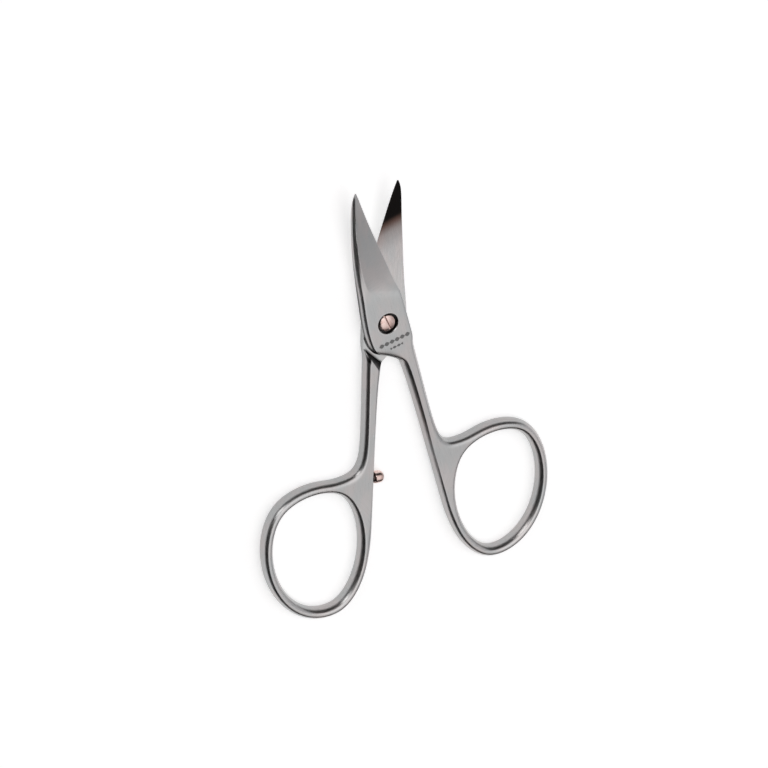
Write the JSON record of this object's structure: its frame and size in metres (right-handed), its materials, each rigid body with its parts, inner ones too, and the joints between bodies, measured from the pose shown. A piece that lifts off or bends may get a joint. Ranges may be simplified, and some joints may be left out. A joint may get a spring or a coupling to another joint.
{
  "type": "thread snips",
  "caption": "Small finger-ring snips with short bowed blades, slotted pivot screw and a stop peg, resting partly open.",
  "frame": {"origin": "on the pivot axis, in the plane of the back faces that the closed handles and ricasso lie on", "axes": "+Y from the pivot towards the blade tips, along the line midway between the halves; +Z along the pivot axis, towards the screw head"},
  "size_m": [0.062, 0.0875, 0.0051],
  "materials": {
    "satin_steel": "satin, with bright ground blade faces",
    "warm_steel": "bright, with a warm rose tint"
  },
  "bodies": {
    "rear": {"rear_half": "satin_steel", "pivot_screw": "warm_steel", "stop_peg": "warm_steel"},
    "front": {"front_half": "satin_steel"}
  },
  "joints": [
    {"name": "pivot", "type": "hinge", "parent": "rear", "child": "front", "pos_m": [0, 0, 0.0016], "axis": [0, 0, 1], "range_deg": [-17.7, 85]}
  ]
}
